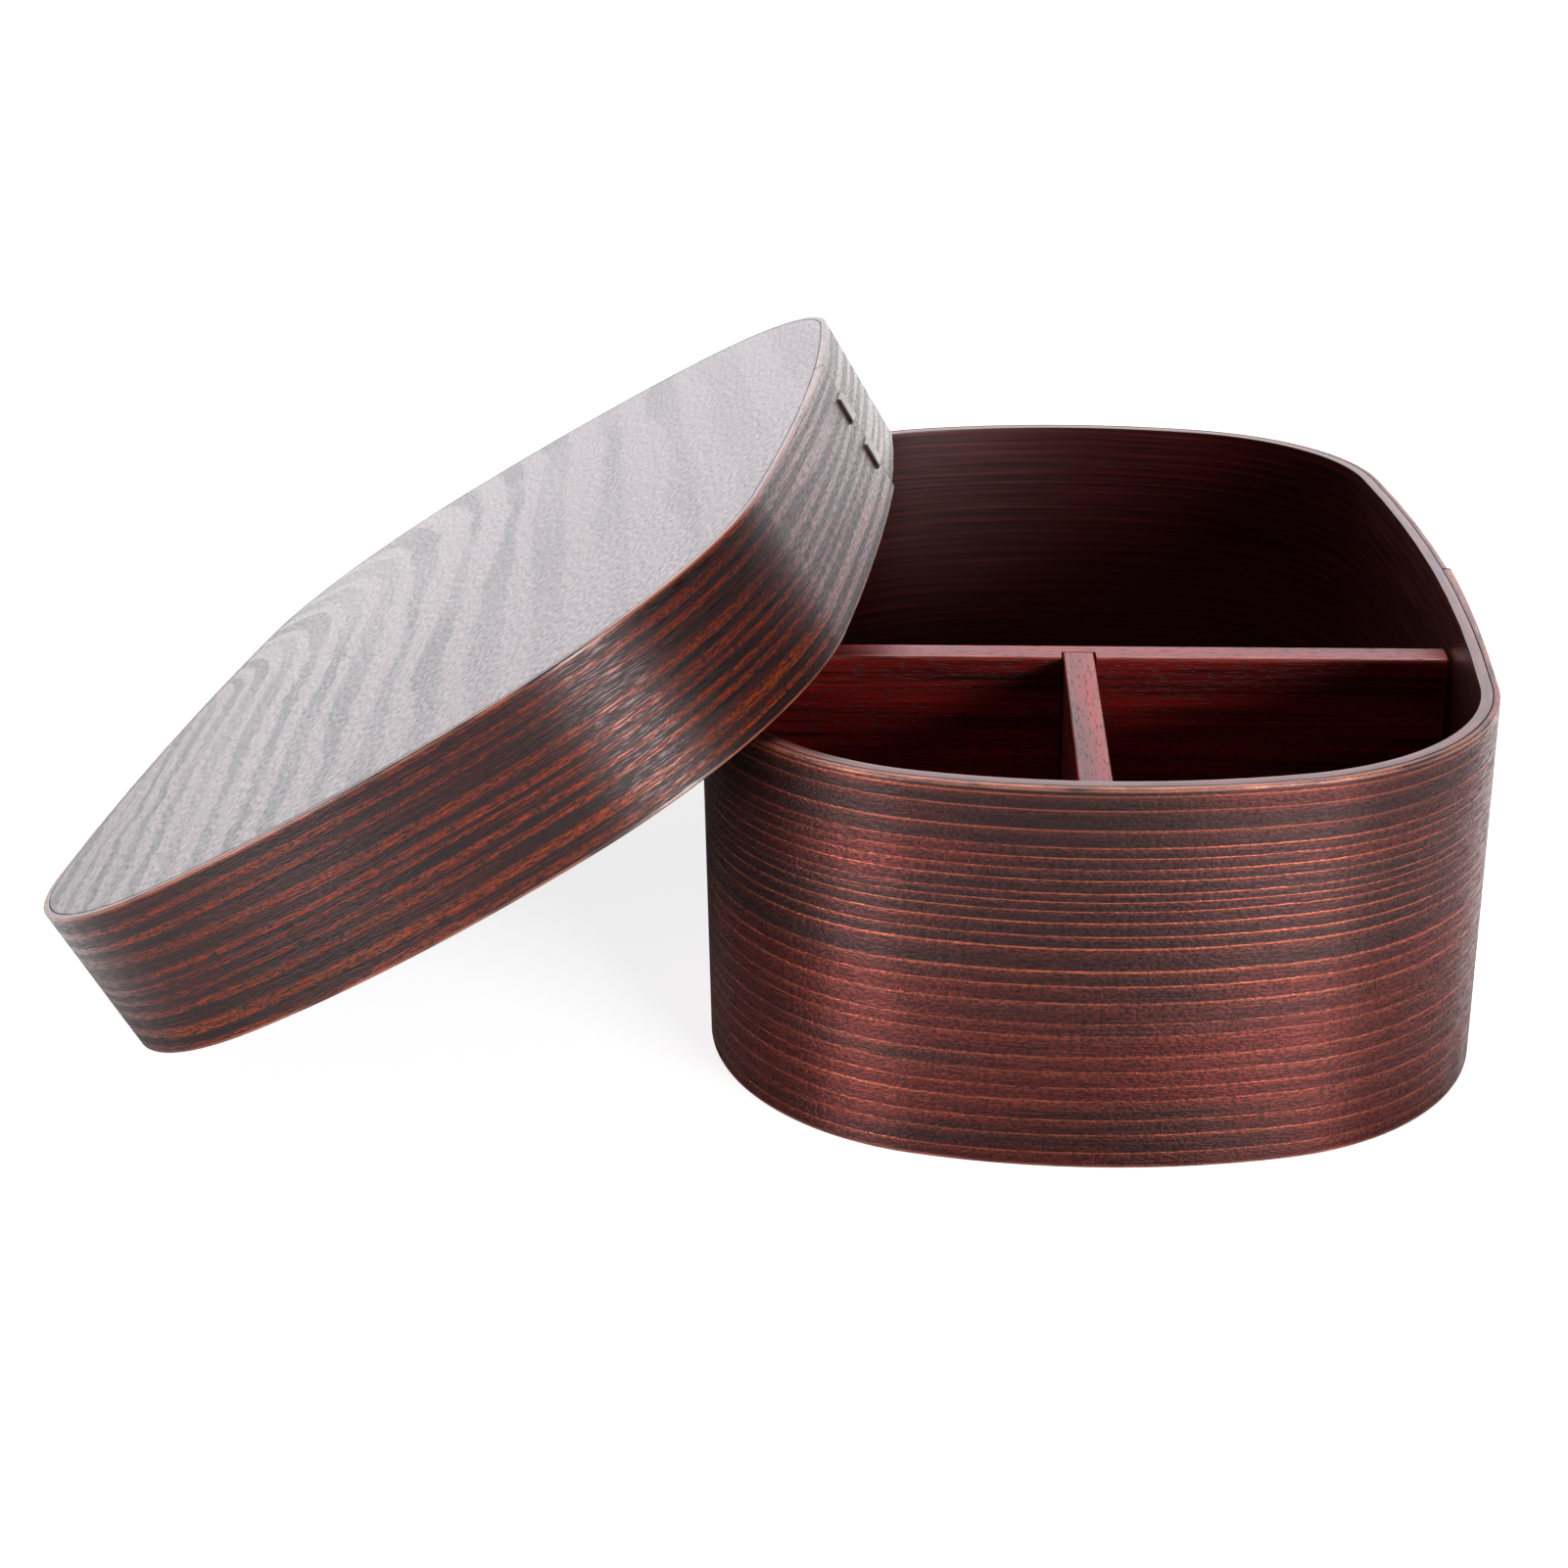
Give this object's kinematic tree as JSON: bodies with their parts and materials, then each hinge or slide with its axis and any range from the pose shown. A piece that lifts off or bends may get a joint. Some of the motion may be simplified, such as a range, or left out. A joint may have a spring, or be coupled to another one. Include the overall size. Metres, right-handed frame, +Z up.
{
  "type": "bent-wood lunch box",
  "caption": "Oblong bent-wood lunch box with lapped and laced band walls, loose dividers and a deep lid leaning on its side.",
  "frame": {"origin": "centre of the underside of the box, on the surface that it stands on", "axes": "+Z up, +Y to the back along the box's length, +X to the right; the lid leans on the left rim, on the -X side"},
  "size_m": [0.209, 0.1894, 0.0825],
  "materials": {
    "outer_band_wood": "satin lacquer over burnt-grain stain",
    "inner_band_wood": "satin lacquer",
    "board_wood": "satin lacquer",
    "divider_wood": "satin lacquer",
    "bark_lacing": "polished bark"
  },
  "bodies": {
    "box": {"base_board": "board_wood", "body_inner_band": "inner_band_wood", "body_outer_band": "outer_band_wood", "body_lacing": "bark_lacing"},
    "lid": {"lid_top_board": "board_wood", "lid_inner_band": "inner_band_wood", "lid_outer_band": "outer_band_wood", "lid_lacing": "bark_lacing"},
    "long_divider": {"long_divider": "divider_wood"},
    "cross_divider": {"cross_divider": "divider_wood"}
  },
  "joints": [
    {"name": "lid_lift", "type": "slide", "parent": "box", "child": "lid", "axis": [0, 0, 1], "range_m": [0, 0.08]},
    {"name": "long_divider_lift", "type": "slide", "parent": "box", "child": "long_divider", "axis": [0, 0, 1], "range_m": [0, 0.012]},
    {"name": "cross_divider_lift", "type": "slide", "parent": "long_divider", "child": "cross_divider", "axis": [0, 0, 1], "range_m": [0, 0.06]}
  ]
}
